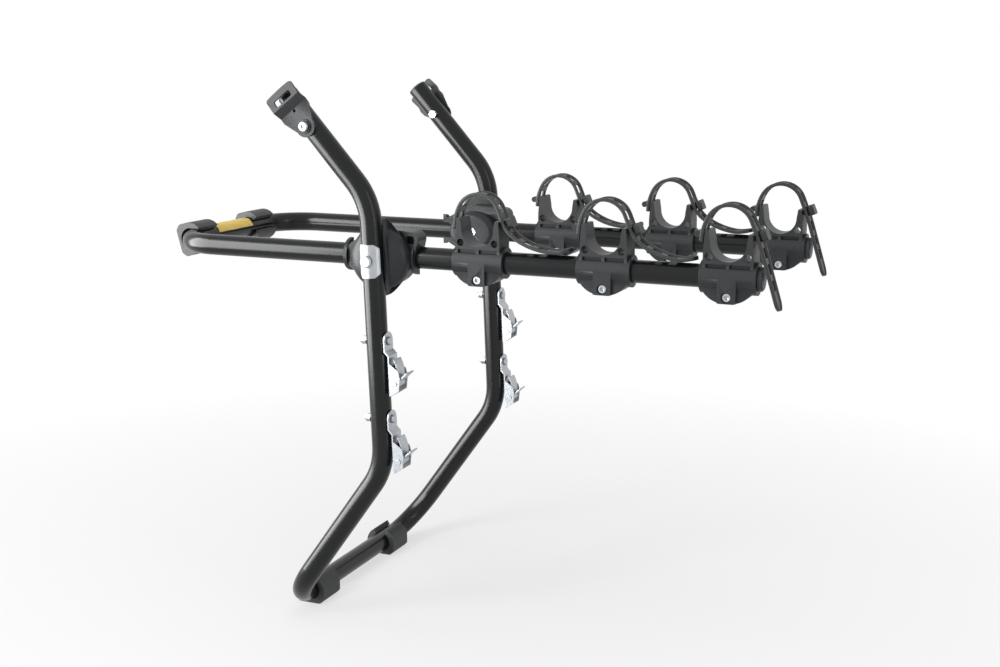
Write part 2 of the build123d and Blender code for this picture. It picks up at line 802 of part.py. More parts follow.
def buckle_strip_outline():
    """Side section of the sheet: the bolted tab, the step outwards and the web."""
    Polygon(
        (tab_out, buckle_tab_rise),
        (tab_out, -tab_drop),
        (web_out, -tab_drop - joggle_drop),
        (web_out, -buckle_drop),
        (web_face, -buckle_drop),
        (web_face, buckle_sheet / 2 - tab_drop - joggle_drop),
        (tab_out + buckle_sheet, buckle_sheet / 2 - tab_drop),
        (tab_out + buckle_sheet, buckle_tab_rise),
        align=None,
    )


def buckle_cheek_outline():
    """Side outline of a cheek, with the hole for the cam pin."""
    Polygon(
        (web_out, -cheek_top),
        (web_out + cheek_shoulder, -cheek_top - cheek_shoulder_drop),
        (web_out + cheek_depth, -cheek_waist_drop),
        (web_out + cheek_foot_depth, -cheek_foot_drop),
        (web_out + buckle_sheet, -buckle_drop),
        (web_out, -buckle_drop),
        align=None,
    )
    with Locations((pin_out, -cam_pin_drop)):
        Circle(cam_pin_diameter / 2 + slip_fit, mode=Mode.SUBTRACT)


for row, drop in rows.items():
    for name, side in sides.items():
        middle = side * leg_side
        with BuildPart() as buckle_frame:
            with BuildSketch(leg_side_view(drop, middle)):
                buckle_strip_outline()
            extrude(amount=buckle_width / 2, both=True)
            front = Vector(leg_front_view(drop, middle).z_dir)
            tab_edges = buckle_frame.edges().filter_by(Axis((0, 0, 0), front))
            fillet(tab_edges.group_by(Axis.Z)[-1], buckle_tab_rise - slip_fit)
            for end in (-1, 1):
                with BuildSketch(leg_side_view(drop, middle + end * buckle_width / 2)):
                    buckle_cheek_outline()
                extrude(amount=end * cheek_sheet)
            with BuildSketch(leg_front_view(drop, middle)):
                Circle(buckle_bolt_diameter / 2 + slip_fit)
            extrude(amount=pin_out, mode=Mode.SUBTRACT)
        buckle_frame.part.label = f"buckle_frame_{row}_{name}"
        export_step(buckle_frame.part, f"parts/buckle_frame_{row}_{name}.step")

        with BuildPart() as cam_pin:
            with BuildSketch(leg_side_view(drop, middle)):
                with Locations((pin_out, -cam_pin_drop)):
                    Circle(cam_pin_diameter / 2)
            extrude(amount=buckle_width / 2, both=True)
            for end in (-1, 1):
                with BuildSketch(leg_side_view(drop, middle + end * buckle_width / 2)):
                    with Locations((pin_out, -cam_pin_drop)):
                        Circle(cam_pin_head / 2)
                extrude(amount=-end * cam_pin_head_height)
        cam_pin.part.label = f"cam_pin_{row}_{name}"
        export_step(cam_pin.part, f"parts/cam_pin_{row}_{name}.step")

        with BuildPart() as cam_lever:
            with BuildSketch(leg_side_view(drop, middle)):
                with Locations((pin_out, -cam_pin_drop)):
                    Circle(cam_radius)
                    with PolarLocations(
                        cam_nose_reach - cam_nose_radius, 1, start_angle=cam_nose_angle
                    ):
                        Circle(cam_nose_radius)
                make_hull()
                with Locations((pin_out, -cam_pin_drop)):
                    with PolarLocations(thumb_reach / 2, 1, start_angle=thumb_angle):
                        Rectangle(thumb_reach, thumb_sheet)
                with BuildLine():
                    front, back = (
                        ThreePointArc(
                            (pin_out + cam_radius - sheet, -cam_pin_drop),
                            (web_out + lever_plate_bulge - sheet, -lever_plate_bulge_drop),
                            (web_out + lever_plate_top - sheet, -lever_plate_top_drop),
                        )
                        for sheet in (0, lever_plate_sheet)
                    )
                    Line(front @ 0, back @ 0)
                    Line(front @ 1, back @ 1)
                make_face()
            extrude(amount=lever_half_width, both=True)
            with BuildSketch(leg_side_view(drop, middle)):
                with Locations((pin_out, -cam_pin_drop)):
                    Circle(cam_pin_diameter / 2 + slip_fit)
            extrude(amount=buckle_width, both=True, mode=Mode.SUBTRACT)
            with BuildSketch(leg_side_view(drop, middle)):
                with Locations((pin_out, -cam_pin_drop)):
                    Circle(spring_outer + spring_room)
            extrude(amount=spring_length / 2 + spring_room, both=True, mode=Mode.SUBTRACT)
        cam_lever.part.label = f"cam_lever_{row}_{name}"
        export_step(cam_lever.part, f"parts/cam_lever_{row}_{name}.step")

        with BuildPart() as cam_spring:
            with BuildSketch(leg_side_view(drop, middle)):
                with Locations((pin_out, -cam_pin_drop)):
                    Circle(spring_outer)
                    Circle(spring_outer - spring_wall, mode=Mode.SUBTRACT)
            extrude(amount=spring_length / 2, both=True)
        cam_spring.part.label = f"cam_spring_{row}_{name}"
        export_step(cam_spring.part, f"parts/cam_spring_{row}_{name}.step")

# Buckle bolts, washers and acorn nuts
buckle_head_seat = tab_out + buckle_sheet + turning_gap
buckle_nut_seat = -tube_radius - buckle_washer_thickness
buckle_places = [(drop, side * leg_side) for drop in buckle_drops for side in sides.values()]
with BuildPart() as buckle_bolts:
    for drop, middle in buckle_places:
        with BuildSketch(leg_front_view(drop, middle, buckle_head_seat)):
            Circle(buckle_head_diameter / 2)
        extrude(amount=buckle_head_height)
    for drop, middle in buckle_places:
        centre = leg_front_view(drop, middle, buckle_head_seat + buckle_head_height).origin
        rim = buckle_bolts.edges().filter_by(GeomType.CIRCLE).sort_by_distance(centre)[0]
        fillet(rim, buckle_head_round)
        with BuildSketch(leg_front_view(drop, middle, buckle_head_seat)):
            Circle(buckle_bolt_diameter / 2)
        extrude(amount=buckle_nut_seat - buckle_nut_height - buckle_head_seat)
buckle_bolts.part.label = "buckle_bolts"
export_step(buckle_bolts.part, "parts/buckle_bolts.step")

with BuildPart() as buckle_washers:
    for drop, middle in buckle_places:
        with BuildSketch(leg_front_view(drop, middle, -tube_radius)):
            Circle(buckle_washer_diameter / 2)
            Circle(buckle_bolt_diameter / 2 + slip_fit, mode=Mode.SUBTRACT)
        extrude(amount=-buckle_washer_thickness)
buckle_washers.part.label = "buckle_washers"
export_step(buckle_washers.part, "parts/buckle_washers.step")

with BuildPart() as buckle_nuts:
    for drop, middle in buckle_places:
        with BuildSketch(leg_front_view(drop, middle, buckle_nut_seat)):
            RegularPolygon(buckle_nut_flats / 2, 6, major_radius=False)
        extrude(amount=-buckle_nut_height)
        dome = leg_front_view(drop, middle, buckle_nut_seat - buckle_nut_height)
        with Locations(dome):
            Sphere(buckle_nut_dome)
        with BuildSketch(leg_front_view(drop, middle, buckle_nut_seat)):
            Circle(buckle_bolt_diameter / 2 + slip_fit)
        extrude(amount=-buckle_nut_height - slip_fit, mode=Mode.SUBTRACT)
buckle_nuts.part.label = "buckle_nuts"
export_step(buckle_nuts.part, "parts/buckle_nuts.step")

# Strap centre line over a cup, in a cradle's own frame
with BuildLine() as strap_arch:
    rise = PolarLine(strap_start, strap_rise, angle=strap_rise_angle)
    lead = JernArc(rise @ 1, rise % 1, strap_lead_radius, -strap_lead_turn)
    arch = JernArc(lead @ 1, lead % 1, strap_arch_radius, -strap_arch_turn)
    fall = PolarLine(arch @ 1, strap_fall, angle=strap_rise_angle - strap_lead_turn - strap_arch_turn)
arch_route = Wire(strap_arch.edges())
peg_left_share = peg_left_from_start / arch_route.length
peg_left_spot = arch_route @ peg_left_share
peg_left_heading = arch_route % peg_left_share
peg_right_from_start = arch_route.length + peg_right_past_fall
peg_right_heading = fall % 1
peg_right_spot = fall @ 1 + peg_right_heading * peg_right_past_fall
windows_before_knob = int((peg_right_from_start - peg_left_from_start) / strap_pitch)


def cradle_view(distance, side, shift=0.0):
    """Plane through a cradle: local X along the arm, local Y up, local Z towards -Y."""
    return side_view(pivot_x + distance, pivot_z, y=side * arm_side + shift)


def peg_plane(distance, side, spot, heading, out=0.0):
    """Plane square to a peg: local X along +Y, local Z away from the cup."""
    away = Vector(-heading.Y, heading.X)
    place = spot + away * out
    origin = (pivot_x + distance + place.X, side * arm_side, pivot_z + place.Y)
    return Plane(origin=origin, x_dir=(0, 1, 0), z_dir=(away.X, 0, away.Y))


# Side outline of a cradle: a clamp body with two horns round the cup
with BuildSketch() as cradle_side:
    horn_root = cup_height - cup_radius / 2
    horn_outer = horn_half_length + horn_tip_round
    with BuildLine():
        Polyline(
            (-cradle_half_length, -cradle_side_drop),
            (-cradle_half_length, 0),
            (-cradle_waist_half_length, cradle_waist_height),
            (-horn_outer, horn_root),
            (-horn_half_length, horn_left_height),
            (horn_half_length, horn_right_height),
            (horn_outer, horn_root),
            (cradle_waist_half_length, cradle_waist_height),
            (cradle_half_length, 0),
            (cradle_half_length, -cradle_side_drop),
        )
        RadiusArc(
            (cradle_half_length, -cradle_side_drop),
            (cradle_foot_half_length, -cradle_foot),
            cradle_corner_radius,
        )
        Line((cradle_foot_half_length, -cradle_foot), (-cradle_foot_half_length, -cradle_foot))
        RadiusArc(
            (-cradle_foot_half_length, -cradle_foot),
            (-cradle_half_length, -cradle_side_drop),
            cradle_corner_radius,
        )
    make_face()
    with Locations((0, cup_height)):
        Circle(cup_radius, mode=Mode.SUBTRACT)
    Polygon(
        (-cup_radius, cup_height),
        (cup_radius, cup_height),
        (horn_opening, horn_left_height),
        (-horn_opening, horn_left_height),
        align=None,
        mode=Mode.SUBTRACT,
    )
    with GridLocations(horn_hole_spacing, 0, 2, 1):
        with Locations((0, horn_hole_height)):
            Circle(horn_hole_diameter / 2, mode=Mode.SUBTRACT)

peg_reach = strap_thickness / 2 + soft_gap
for number, distance in zip(stations, cradle_distances):
    for name, side in sides.items():
        with BuildPart() as cradle:
            with BuildSketch(cradle_view(distance, side)):
                add(cradle_side.sketch)
            extrude(amount=cradle_depth / 2, both=True)
            arm_section = Plane(origin=(pivot_x + distance, side * arm_side, pivot_z), z_dir=(1, 0, 0))
            with BuildSketch(arm_section):
                Circle(cradle_barrel_radius)
            extrude(amount=cradle_half_length, both=True)
            with BuildSketch(cradle_view(distance, side)):
                add(cradle_side.sketch)
                with Locations((0, -cradle_foot / 2)):
                    Rectangle(cradle_boss_length, cradle_foot, mode=Mode.INTERSECT)
            extrude(amount=cradle_boss_depth / 2, both=True)
            for face in (-1, 1):
                with BuildSketch(cradle_view(distance, side, shift=face * cradle_depth / 2)):
                    groove_x = (ledge_rib + ledge_groove_length) / 2
                    with Locations((-groove_x, ledge_height), (groove_x, ledge_height)):
                        Rectangle(ledge_groove_length, ledge_groove)
                extrude(amount=face * ledge_groove_depth, mode=Mode.SUBTRACT)

            bar_out = peg_reach + peg_left_radius
            root = peg_plane(distance, side, peg_left_spot, peg_left_heading, out=-peg_root)
            with BuildSketch(root):
                Rectangle(peg_neck_width, peg_neck_height)
            extrude(amount=peg_root + bar_out)
            bar = peg_plane(distance, side, peg_left_spot, peg_left_heading, out=bar_out)
            bar_side = Plane(origin=bar.origin, x_dir=bar.z_dir, z_dir=(0, -1, 0))
            with BuildSketch(bar_side):
                Circle(peg_left_radius)
            extrude(amount=peg_left_length / 2, both=True)

            knob_out = peg_reach + peg_right_room
            root = peg_plane(distance, side, peg_right_spot, peg_right_heading, out=-peg_root)
            with BuildSketch(root):
                Rectangle(peg_neck_width, peg_neck_height)
            extrude(amount=peg_root + knob_out)
            with BuildSketch(peg_plane(distance, side, peg_right_spot, peg_right_heading, knob_out)):
                RectangleRounded(peg_right_length, peg_right_height, peg_right_round)
            extrude(amount=peg_right_depth)

            with BuildSketch(arm_section):
                Circle(bore_radius)
            extrude(amount=2 * cradle_half_length, both=True, mode=Mode.SUBTRACT)
            with BuildSketch(arm_section):
                with Locations((0, -cradle_foot)):
                    Rectangle(clamp_slit, 2 * cradle_foot)
            extrude(amount=2 * cradle_half_length, both=True, mode=Mode.SUBTRACT)
            with BuildSketch(cradle_view(distance, side)):
                with Locations((0, -cradle_screw_drop)):
                    Circle(cradle_screw_diameter / 2 + slip_fit)
            extrude(amount=cradle_boss_depth, both=True, mode=Mode.SUBTRACT)
            for face in (-1, 1):
                with BuildSketch(cradle_view(distance, side, shift=face * cradle_boss_depth / 2)):
                    with Locations((0, -cradle_screw_drop)):
                        Circle(cradle_counterbore / 2)
                extrude(amount=face * cradle_counterbore_depth, mode=Mode.SUBTRACT)
        cradle.part.label = f"cradle_{number}_{name}"
        export_step(cradle.part, f"parts/cradle_{number}_{name}.step")

# Clamp screws and nuts of the cradles
cradle_seat = cradle_boss_depth / 2 - cradle_counterbore_depth
cradle_places = [(distance, side) for distance in cradle_distances for side in sides.values()]
with BuildPart() as cradle_screws:
    for distance, side in cradle_places:
        with BuildSketch(cradle_view(distance, side, shift=-cradle_seat)):
            with Locations((0, -cradle_screw_drop)):
                Circle(cradle_head_diameter / 2)
        extrude(amount=cradle_head_height)
        with BuildSketch(cradle_view(distance, side, shift=-cradle_seat - cradle_head_height)):
            with Locations((0, -cradle_screw_drop)):
                RegularPolygon(cradle_head_socket / 2, 6, major_radius=False)
        extrude(amount=-socket_depth, mode=Mode.SUBTRACT)
        with BuildSketch(cradle_view(distance, side, shift=-cradle_seat)):
            with Locations((0, -cradle_screw_drop)):
                Circle(cradle_screw_diameter / 2)
        extrude(amount=-2 * cradle_seat - cradle_nut_height)
cradle_screws.part.label = "cradle_screws"
export_step(cradle_screws.part, "parts/cradle_screws.step")

with BuildPart() as cradle_nuts:
    for distance, side in cradle_places:
        with BuildSketch(cradle_view(distance, side, shift=cradle_seat)):
            with Locations((0, -cradle_screw_drop)):
                RegularPolygon(cradle_nut_flats / 2, 6, major_radius=False)
                Circle(cradle_screw_diameter / 2 + slip_fit, mode=Mode.SUBTRACT)
        extrude(amount=-cradle_nut_height)
cradle_nuts.part.label = "cradle_nuts"
export_step(cradle_nuts.part, "parts/cradle_nuts.step")

# Rubber straps: a ladder band over each cup, with a free tail beyond the outer peg
for number, distance, arcs, run in zip(stations, cradle_distances, strap_tail_arcs, strap_tail_runs):
    with BuildLine() as centre_line:
        add(strap_arch.line)
        last = fall
        for radius, turn in arcs:
            last = JernArc(last @ 1, last % 1, radius, turn)
        tail = PolarLine(last @ 1, run, direction=last % 1)
    route = Wire(centre_line.edges())
    windows_on_tail = int((route.length - peg_right_from_start - strap_window_length) / strap_pitch)
    window_spots = [peg_left_from_start]
    for count in range(-windows_before_knob, windows_on_tail + 1):
        window_spots.append(peg_right_from_start + count * strap_pitch)
    for name, side in sides.items():
        plane = cradle_view(distance, side)
        with BuildPart() as strap:
            begin = plane.from_local_coords(route @ 0)
            heading = plane.from_local_coords(route @ 0 + route % 0) - begin
            with BuildSketch(Plane(origin=begin, x_dir=(0, 1, 0), z_dir=heading)):
                Rectangle(strap_width, strap_thickness)
            sweep(path=plane.from_local_coords(route))
            for window_spot in window_spots:
                share = window_spot / route.length
                spot = plane.from_local_coords(route @ share)
                along = plane.from_local_coords(route @ share + route % share) - spot
                face = Plane(origin=spot, x_dir=(0, 1, 0), z_dir=along.cross(Vector(0, 1, 0)))
                with BuildSketch(face):
                    Rectangle(strap_window_width, strap_window_length)
                extrude(amount=strap_thickness, both=True, mode=Mode.SUBTRACT)
            tip = plane.from_local_coords(route @ 1)
            along = plane.from_local_coords(route @ 1 + route % 1) - tip
            with BuildSketch(Plane(origin=tip, x_dir=(0, 1, 0), z_dir=along.cross(Vector(0, 1, 0)))):
                Circle(strap_width / 2)
                with Locations((0, strap_width / 2)):
                    Rectangle(strap_width, strap_width, mode=Mode.SUBTRACT)
            extrude(amount=strap_thickness / 2, both=True)
        strap.part.label = f"strap_{number}_{name}"
        export_step(strap.part, f"parts/strap_{number}_{name}.step")
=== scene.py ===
"""Looks of a strap-on rear carrier for three bicycles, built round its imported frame.

Lengths are metres. Sizes written with MM are the maker's millimetres.
"""

import json
from math import cos, pi, radians, sin

import bmesh
import bpy
import numpy as np
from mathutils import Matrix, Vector


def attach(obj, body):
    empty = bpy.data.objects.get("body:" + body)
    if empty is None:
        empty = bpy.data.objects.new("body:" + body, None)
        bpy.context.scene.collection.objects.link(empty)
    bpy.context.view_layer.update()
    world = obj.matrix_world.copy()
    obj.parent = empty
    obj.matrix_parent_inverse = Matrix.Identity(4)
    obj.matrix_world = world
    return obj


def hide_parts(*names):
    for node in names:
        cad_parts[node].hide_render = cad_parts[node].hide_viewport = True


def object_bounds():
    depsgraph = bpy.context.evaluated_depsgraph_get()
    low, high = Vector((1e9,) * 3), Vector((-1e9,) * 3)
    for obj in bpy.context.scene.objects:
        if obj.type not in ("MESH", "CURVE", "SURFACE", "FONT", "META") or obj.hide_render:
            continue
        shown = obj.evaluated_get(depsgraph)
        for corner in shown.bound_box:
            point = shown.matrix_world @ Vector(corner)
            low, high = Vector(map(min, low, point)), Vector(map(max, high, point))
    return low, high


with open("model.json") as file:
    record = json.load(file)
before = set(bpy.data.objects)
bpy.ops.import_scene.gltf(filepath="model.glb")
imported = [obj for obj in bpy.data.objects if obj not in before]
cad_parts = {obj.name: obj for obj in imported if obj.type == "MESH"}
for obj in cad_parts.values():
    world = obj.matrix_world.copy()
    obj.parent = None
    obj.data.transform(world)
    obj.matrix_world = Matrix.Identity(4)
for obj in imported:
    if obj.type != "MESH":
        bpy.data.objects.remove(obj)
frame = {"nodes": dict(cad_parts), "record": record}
cad_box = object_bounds()

MM = 0.001

# Places in the frame that the pieces below are built on; the left side is the one at -Y
PIVOT = np.array([143.045, 0.0, 511.8]) * MM
ARM_SIDE = 143.0 * MM
LEG_SIDE = 187.5 * MM
LEG_LEAN = radians(2.2647)
REST_BAR = np.array([-197.955, 0.0, 511.8]) * MM
FOOT_BAR = np.array([0.0, 0.0, 19.8]) * MM
FOOT_LEG_ANGLE = radians(54.386)
CRADLE_DISTANCES = (134.0 * MM, 302.0 * MM, 457.0 * MM)
SIDES = {"left": -1, "right": 1}

# Points nearer than this are welded; edges that bend by more than this many degrees are
# rounded, and faces that bend by less than this many are one
WELD = 1e-6
EDGE_ANGLE = 32.0
FLAT_ANGLE = 0.6


class Value:
    """A socket of a node tree, with Python's operators for shader maths."""

    def __init__(self, nodes, socket):
        self.nodes = nodes
        self.socket = socket

    def maths(self, operation, *values):
        """One Math node over these values."""
        return self.nodes.node("ShaderNodeMath", {"operation": operation}, *values)

    def __add__(self, other):
        return self.maths("ADD", self, other)

    def __sub__(self, other):
        return self.maths("SUBTRACT", self, other)

    def __mul__(self, other):
        return self.maths("MULTIPLY", self, other)

    def __truediv__(self, other):
        return self.maths("DIVIDE", self, other)

    def __rsub__(self, other):
        return self.maths("SUBTRACT", other, self)

    def clamped(self):
        """The value kept between 0 and 1."""
        return self.maths("MAXIMUM", self.maths("MINIMUM", self, 1.0), 0.0)

    __radd__ = __add__
    __rmul__ = __mul__


class Nodes:
    """A node tree, and one way to add a node to it."""

    def __init__(self, tree):
        self.tree = tree

    def node(self, kind, settings, *values, output=0, **named):
        """Adds a node: its settings first, then the values or links of its sockets."""
        made = self.tree.nodes.new(kind)
        for key, setting in settings.items():
            setattr(made, key, setting)
        for key, value in [*enumerate(values), *named.items()]:
            socket = made.inputs[key if isinstance(key, int) else key.replace("_", " ")]
            self.put(socket, value)
        return Value(self, made.outputs[output])

    def put(self, socket, value):
        """Links a value to a socket, or writes a plain number or colour there."""
        if isinstance(value, Value):
            self.tree.links.new(value.socket, socket)
        else:
            socket.default_value = value

    def seen_or_mirrored(self):
        """1 for rays from the camera and off gloss, 0 for those that light a matt surface."""
        seen = self.node("ShaderNodeLightPath", {}, output="Is Camera Ray")
        mirrored = self.node("ShaderNodeLightPath", {}, output="Is Glossy Ray")
        return (seen + mirrored).clamped()


class Paint(Nodes):
    """A material with one Principled shader, and short ways to add nodes in front of it."""

    def __init__(self, name):
        self.material = bpy.data.materials.new(name)
        self.material.use_nodes = True
        super().__init__(self.material.node_tree)
        self.shader = self.tree.nodes["Principled BSDF"]

    def place(self):
        """The point on the piece, in the carrier's own frame."""
        return self.node("ShaderNodeTexCoord", {}, output="Object")

    def noise(self, scale, detail=2.0, roughness=0.5, stretch=(1, 1, 1)):
        """Noise from 0 to 1, this many cells to the metre, drawn out where stretch is small."""
        where = self.node("ShaderNodeMapping", {}, self.place(), Scale=stretch)
        return self.node(
            "ShaderNodeTexNoise", {},
            Vector=where, Scale=scale, Detail=detail, Roughness=roughness,
        )

    def mixed(self, factor, first, second):
        """A colour between two colours."""
        made = self.tree.nodes.new("ShaderNodeMix")
        made.data_type = "RGBA"
        colours = [socket for socket in made.inputs if socket.type == "RGBA"]
        self.put(made.inputs["Factor"], factor)
        self.put(colours[0], first)
        self.put(colours[1], second)
        return Value(self, next(socket for socket in made.outputs if socket.type == "RGBA"))

    def worn(self, low=0.47, high=0.56):
        """1 on outward edges and 0 elsewhere, from how much the surface bulges: the mask of the
        painted edge highlights.
        """
        bulge = self.node("ShaderNodeNewGeometry", {}, output="Pointiness")
        return ((bulge - low) / (high - low)).clamped()

    def bumped(self, height, strength, distance):
        """Sends a height to the shader's normal."""
        normal = self.node(
            "ShaderNodeBump", {}, Strength=strength, Distance=distance, Height=height
        )
        self.put(self.shader.inputs["Normal"], normal)

    def finish(self, colour, roughness, **constants):
        """Sets the shader's colour and roughness, and plain numbers on its other sockets."""
        self.put(self.shader.inputs["Base Color"], colour)
        self.put(self.shader.inputs["Roughness"], roughness)
        for key, value in constants.items():
            self.shader.inputs[key.replace("_", " ")].default_value = value
        return self.material


def grey(level, tint=0.0):
    """A near-neutral colour; the tint leans it towards blue."""
    return (level * (1 - tint), level, level * (1 + tint), 1.0)


def tube_coat():
    """Black powder coat: smooth, with a very fine orange peel under a satin gloss."""
    paint = Paint("tube_coat")
    cloud = paint.noise(scale=9.0, detail=3.0)
    peel = paint.noise(scale=260.0, detail=1.0)
    paint.bumped(peel, strength=0.02, distance=0.1 * MM)
    colour = paint.mixed(cloud, grey(0.004, tint=0.10), grey(0.008, tint=0.10))
    return paint.finish(colour, 0.20 + 0.05 * cloud, Specular_IOR_Level=0.28)


def moulded(name, level, roughness, grain_scale, grain):
    """Moulded black plastic: fine spark grain, faint flow marks and outward edges painted paler
    as a painted highlight.
    """
    paint = Paint(name)
    flow = paint.noise(scale=26.0, detail=4.0, roughness=0.6, stretch=(1, 1, 0.35))
    spark = paint.noise(scale=grain_scale, detail=2.0, roughness=0.6)
    paint.bumped(spark, strength=grain, distance=0.05 * MM)
    body = paint.mixed(flow, grey(level * 0.86, tint=0.12), grey(level * 1.14, tint=0.12))
    # Painted highlight: outward edges are mixed towards a paler grey, as if lit along their
    # rims
    colour = paint.mixed(paint.worn() * 0.5, body, grey(level * 3.5, tint=0.05))
    return paint.finish(colour, roughness + 0.10 * flow, Specular_IOR_Level=0.25)


def rubber(name, level, roughness):
    """Rubber: dull, with a cloudy bloom, fine pores and outward edges painted paler as a
    painted highlight.
    """
    paint = Paint(name)
    bloom = paint.noise(scale=40.0, detail=5.0, roughness=0.65)
    pores = paint.noise(scale=1600.0, detail=2.0, roughness=0.7)
    paint.bumped(pores, strength=0.05, distance=0.06 * MM)
    body = paint.mixed(bloom, grey(level * 0.8, tint=0.03), grey(level * 1.2, tint=0.03))
    # Painted highlight: outward edges are mixed towards a paler grey, as if lit along their
    # rims
    colour = paint.mixed(paint.worn() * 0.4, body, grey(level * 3.0, tint=0.05))
    return paint.finish(colour, roughness + 0.12 * bloom, Specular_IOR_Level=0.35)


def zinc(name, level, roughness):
    """Bright zinc plate: bluish metal with a soft mottle and long rolling marks."""
    paint = Paint(name)
    mottle = paint.noise(scale=120.0, detail=4.0, roughness=0.6)
    rolled = paint.noise(scale=500.0, detail=2.0, stretch=(1, 1, 0.06))
    paint.bumped(rolled, strength=0.02, distance=0.1 * MM)
    colour = paint.mixed(mottle, grey(level * 0.72, tint=0.05), grey(level * 1.05, tint=0.05))
    return paint.finish(colour, roughness + 0.14 * mottle, Metallic=1.0)


def band_film():
    """Plain yellow film, slightly glossy and wavy, with soft ageing towards orange."""
    paint = Paint("band_film")
    age = paint.noise(scale=60.0, detail=4.0, roughness=0.6)
    wave = paint.noise(scale=240.0, detail=1.0)
    paint.bumped(wave, strength=0.08, distance=0.3 * MM)
    colour = paint.mixed(age, (0.86, 0.58, 0.10, 1), (0.92, 0.66, 0.15, 1))
    return paint.finish(colour, 0.34 + 0.1 * age)


coats = {
    "black_tube": tube_coat(),
    "hub_plastic": moulded("hub_plastic", 0.013, 0.32, grain_scale=1400.0, grain=0.04),
    "cradle_plastic": moulded("cradle_plastic", 0.013, 0.36, grain_scale=1100.0, grain=0.06),
    "plug_plastic": moulded("plug_plastic", 0.024, 0.38, grain_scale=1100.0, grain=0.05),
    "dark_washer": moulded("dark_washer", 0.012, 0.42, grain_scale=900.0, grain=0.04),
    "strap_rubber": rubber("strap_rubber", 0.018, 0.36),
    "pad_rubber": rubber("pad_rubber", 0.027, 0.46),
    "grey_plate": moulded("grey_plate", 0.018, 0.44, grain_scale=1300.0, grain=0.03),
    "zinc_steel": zinc("zinc_steel", 0.50, 0.26),
    "spring_steel": zinc("spring_steel", 0.42, 0.30),
    "yellow_band": band_film(),
}
slot_of = {part["node"]: part["material_slot"] for part in frame["record"]["subparts"]}
body_of = {
    node: body
    for body, nodes in frame["record"]["behaviour"]["bodies"].items()
    for node in nodes
}


def coat(piece, slot):
    """Gives a piece the coat of a material slot."""
    piece.data.materials.clear()
    piece.data.materials.append(coats[slot])


def add_piece(name, points, faces, slot, body, stands_for, smooth):
    """A closed mesh of these points, welded, with its faces outwards.

    It rides on a body and stands for one part. Its edges stay sharp where they bend by more
    than the smooth angle, in degrees.
    """
    mesh = bpy.data.meshes.new(name)
    mesh.from_pydata(np.asarray(points, float).reshape(-1, 3).tolist(), [], faces)
    work = bmesh.new()
    work.from_mesh(mesh)
    bmesh.ops.remove_doubles(work, verts=work.verts, dist=WELD)
    loose = [vert for vert in work.verts if not vert.link_faces]
    bmesh.ops.delete(work, geom=loose, context="VERTS")
    bmesh.ops.recalc_face_normals(work, faces=work.faces)
    work.to_mesh(mesh)
    work.free()
    mesh.shade_smooth()
    mesh.set_sharp_from_angle(angle=radians(smooth))
    piece = bpy.data.objects.new(name, mesh)
    bpy.context.scene.collection.objects.link(piece)
    coat(piece, slot)
    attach(piece, body)
    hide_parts(stands_for)
    return piece


def soften(piece, width, segments=2, angle=EDGE_ANGLE):
    """Rounds a piece's sharp edges."""
    bevel = piece.modifiers.new("soft_edges", "BEVEL")
    bevel.width = width
    bevel.segments = segments
    bevel.limit_method = "ANGLE"
    bevel.angle_limit = radians(angle)
    bevel.use_clamp_overlap = True
    bevel.harden_normals = True


def subdivide(piece, levels):
    """Smooths a cage."""
    smooth = piece.modifiers.new("smooth", "SUBSURF")
    smooth.levels = levels
    smooth.render_levels = levels


def rounded_node(node, width):
    """A welded copy of a hard part with its edges rounded, in the part's own place."""
    mesh = frame["nodes"][node].data.copy()
    work = bmesh.new()
    work.from_mesh(mesh)
    bmesh.ops.remove_doubles(work, verts=work.verts, dist=WELD)
    bmesh.ops.dissolve_limit(
        work, angle_limit=radians(FLAT_ANGLE), verts=work.verts, edges=work.edges
    )
    work.to_mesh(mesh)
    work.free()
    mesh.shade_smooth()
    mesh.set_sharp_from_angle(angle=radians(EDGE_ANGLE))
    piece = bpy.data.objects.new(f"{node}_finished", mesh)
    bpy.context.scene.collection.objects.link(piece)
    coat(piece, slot_of[node])
    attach(piece, body_of[node])
    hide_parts(node)
    soften(piece, width)


# Every hard part keeps its shape and gets its coat, and the moulded, pressed and turned ones
# show as copies with their edges rounded by these widths
EDGE_WIDTHS = {
    "cradle_": 0.7 * MM,
    "hub_housing_": 0.8 * MM,
    "hub_cap_": 0.8 * MM,
    "hub_bolts": 0.3 * MM,
    "saddle_washers": 0.35 * MM,
    "strap_bracket_": 0.5 * MM,
    "buckle_frame_": 0.3 * MM,
    "cam_lever_": 0.3 * MM,
    "cam_pin_": 0.2 * MM,
    "arm_plugs": 0.5 * MM,
    "leg_plugs": 0.4 * MM,
    "bracket_": 0.3 * MM,
    "buckle_": 0.25 * MM,
}
for node, part in frame["nodes"].items():
    part.data.materials.clear()
    part.data.materials.append(coats[slot_of[node]])
for node in sorted(frame["nodes"]):
    widths = [size for start, size in EDGE_WIDTHS.items() if node.startswith(start)]
    if widths:
        rounded_node(node, widths[0])


def follow(start, heading, spans, along):
    """Points and headings on a line of straight and round spans, this far along from its start.

    Each span is (length, turn): the heading grows evenly by the turn, and a point is the sum of
    the chords before it, each chord being length times sin(half turn) / half turn. The last
    span goes on past its own length.
    """
    x = np.full_like(along, start[0])
    z = np.full_like(along, start[1])
    angle = np.full_like(along, heading)
    begin = 0.0
    for index, (run, turn) in enumerate(spans):
        longest = run if index < len(spans) - 1 else np.inf
        share = np.clip(along - begin, 0, longest)
        swing = turn * share / run
        chord = share * np.sinc(swing / 2 / pi)
        x = x + chord * np.cos(angle + swing / 2)
        z = z + chord * np.sin(angle + swing / 2)
        angle = angle + swing
        begin += run
    return x, z, angle


def arc(radius, degrees):
    """A round span of this radius, in millimetres, that turns by this many degrees."""
    return (radius * abs(radians(degrees)) * MM, radians(degrees))


def straight(run):
    """A straight span, in millimetres."""
    return (run * MM, 0.0)


